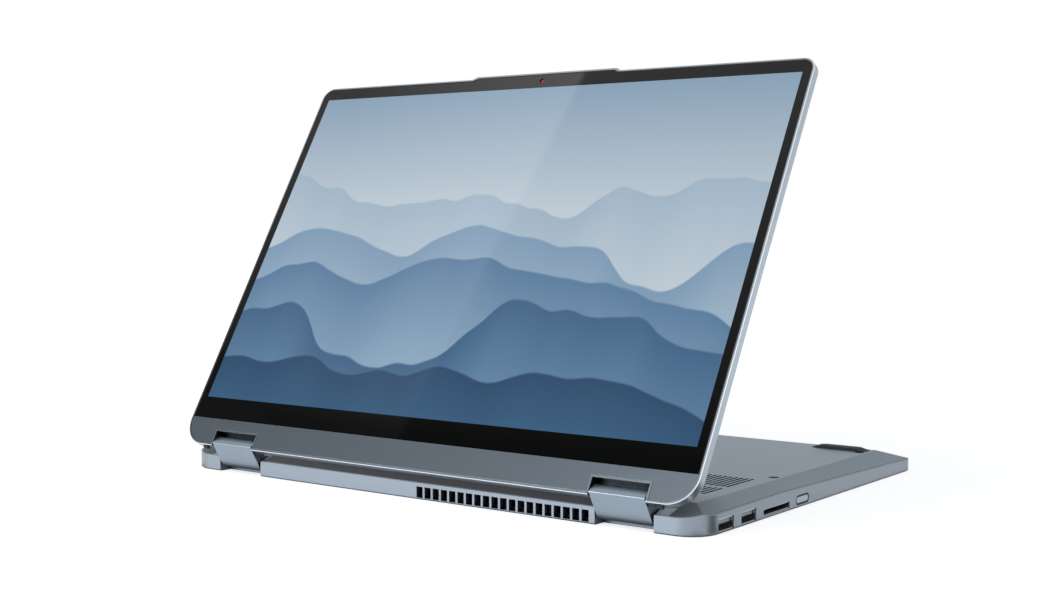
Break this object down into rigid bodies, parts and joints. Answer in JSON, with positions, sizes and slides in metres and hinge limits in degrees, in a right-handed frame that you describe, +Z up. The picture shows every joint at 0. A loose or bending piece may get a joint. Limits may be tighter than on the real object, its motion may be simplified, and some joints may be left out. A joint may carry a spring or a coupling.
{
  "type": "laptop computer",
  "caption": "Folding laptop computer stood on its keyboard deck, with geared double hinges that turn the touch screen from closed to folded right back.",
  "frame": {"origin": "on the table, under the middle of the whole computer as it stands", "axes": "+X to the right as the screen is viewed, +Y away from the viewer, from the hinges to the front edge of the base, +Z up"},
  "size_m": [0.3146, 0.2284, 0.209],
  "materials": {
    "case_metal": "satin blue-grey, fine blasted grain",
    "lid_metal": "anodised blue-grey, fine blasted grain",
    "cover_plastic": "fine-textured blue-grey",
    "hinge_metal": "satin blue-grey",
    "screen_glass": "polished black-printed cover glass over the lit picture",
    "gasket_rubber": "matt black",
    "foot_rubber": "matt dark grey",
    "key_plastic": "soft-touch slate grey",
    "pad_glass": "etched smooth",
    "button_metal": "satin",
    "steel": "bright",
    "socket_steel": "drawn, dull",
    "black_plastic": "moulded black",
    "board_green": "solder-masked laminate",
    "copper": "bare copper",
    "fin_metal": "mill",
    "cell_film": "foil pouch in black film",
    "panel": "flat screen module",
    "mark_red": "red mark",
    "lens_glass": "polished lens",
    "led_clear": "frosted light rod",
    "antenna_foil": "thin foil on film"
  },
  "bodies": {
    "base": {"top_case": "case_metal", "bottom_cover": "cover_plastic", "bottom_screws": "steel", "rear_foot": "foot_rubber", "front_feet": "foot_rubber", "keyboard_plate": "steel", "touchpad_bracket": "steel", "fan_housing": "black_plastic", "fin_stack": "fin_metal", "heat_pipe": "copper", "battery_cells": "cell_film", "speaker_boxes": "black_plastic", "usb_a_shells": "socket_steel", "usb_a_tongues": "black_plastic", "card_reader": "socket_steel", "hdmi_socket": "socket_steel", "usb_c_socket": "socket_steel", "audio_jack": "black_plastic", "power_switch": "black_plastic", "status_led": "led_clear", "base_hinge_brackets": "hinge_metal", "base_hinge_screws": "steel", "motherboard": "board_green", "processor": "black_plastic", "memory_chips": "black_plastic", "ssd_module": "board_green", "wireless_card": "board_green", "base_hinge_shafts": "steel"},
    "hinge_link": {"hinge_front_covers": "hinge_metal", "hinge_rear_covers": "hinge_metal", "hinge_plates": "steel", "idler_pins": "steel"},
    "idler_low": {"idler_gears_low": "steel"},
    "idler_high": {"idler_gears_high": "steel"},
    "lid": {"lid_back_cover": "lid_metal", "chin_strip": "case_metal", "touch_glass": "screen_glass", "glass_gasket": "gasket_rubber", "display_panel": "panel", "panel_adhesive": "gasket_rubber", "lid_hinge_brackets": "steel", "lid_hinge_screws": "steel", "lid_hinge_shafts": "steel", "webcam_module": "board_green", "camera_lens": "lens_glass", "wifi_antennas": "antenna_foil", "edge_pads": "foot_rubber"},
    "shutter": {"privacy_shutter": "black_plastic", "shutter_mark": "mark_red"},
    "touchpad": {"touchpad": "pad_glass"},
    "power_button": {"power_button": "button_metal"},
    "fan_wheel": {"fan_wheel": "black_plastic"},
    "keys_row_1": {"keys_row_1": "key_plastic"},
    "keys_row_2": {"keys_row_2": "key_plastic"},
    "keys_row_3": {"keys_row_3": "key_plastic"},
    "keys_row_4": {"keys_row_4": "key_plastic"},
    "keys_row_5": {"keys_row_5": "key_plastic"},
    "keys_row_6": {"keys_row_6": "key_plastic"}
  },
  "joints": [
    {"name": "base_hinge", "type": "hinge", "parent": "base", "child": "hinge_link", "pos_m": [0, -0.10522, 0.0062], "axis": [1, 0, 0], "range_deg": [-30, 150]},
    {"name": "lid_hinge", "type": "hinge", "parent": "hinge_link", "child": "lid", "pos_m": [0, -0.11027, 0.01495], "axis": [1, 0, 0], "range_deg": [-30, 150]},
    {"name": "idler_low_turn", "type": "hinge", "parent": "hinge_link", "child": "idler_low", "pos_m": [0, -0.10691, 0.00912], "axis": [1, 0, 0], "range_deg": [-30, 150]},
    {"name": "idler_high_turn", "type": "hinge", "parent": "hinge_link", "child": "idler_high", "pos_m": [0, -0.10859, 0.01204], "axis": [1, 0, 0], "range_deg": [-150, 30]},
    {"name": "shutter_slide", "type": "slide", "parent": "lid", "child": "shutter", "axis": [1, 0, 0], "range_m": [0, 0.005]},
    {"name": "touchpad_click", "type": "hinge", "parent": "base", "child": "touchpad", "pos_m": [0, 0.03313, 0.00145], "axis": [1, 0, 0], "range_deg": [0, 0.5], "stiffness_Nm_per_rad": 10},
    {"name": "power_press", "type": "slide", "parent": "base", "child": "power_button", "axis": [-1, 0, 0], "range_m": [0, 0.0006], "stiffness_N_per_m": 3000},
    {"name": "fan_spin", "type": "hinge", "parent": "base", "child": "fan_wheel", "pos_m": [0.07, -0.06232, 0.00475], "axis": [0, 0, 1], "continuous": true},
    {"name": "keys_row_1_press", "type": "slide", "parent": "base", "child": "keys_row_1", "axis": [0, 0, 1], "range_m": [0, 0.0013], "stiffness_N_per_m": 6000},
    {"name": "keys_row_2_press", "type": "slide", "parent": "base", "child": "keys_row_2", "axis": [0, 0, 1], "range_m": [0, 0.0013], "stiffness_N_per_m": 5600},
    {"name": "keys_row_3_press", "type": "slide", "parent": "base", "child": "keys_row_3", "axis": [0, 0, 1], "range_m": [0, 0.0013], "stiffness_N_per_m": 5600},
    {"name": "keys_row_4_press", "type": "slide", "parent": "base", "child": "keys_row_4", "axis": [0, 0, 1], "range_m": [0, 0.0013], "stiffness_N_per_m": 5200},
    {"name": "keys_row_5_press", "type": "slide", "parent": "base", "child": "keys_row_5", "axis": [0, 0, 1], "range_m": [0, 0.0013], "stiffness_N_per_m": 4800},
    {"name": "keys_row_6_press", "type": "slide", "parent": "base", "child": "keys_row_6", "axis": [0, 0, 1], "range_m": [0, 0.0013], "stiffness_N_per_m": 4400}
  ],
  "couplings": [
    {"joint": "lid_hinge", "follows": "base_hinge", "ratio": 1},
    {"joint": "idler_low_turn", "follows": "base_hinge", "ratio": 1},
    {"joint": "idler_high_turn", "follows": "base_hinge", "ratio": -1}
  ]
}
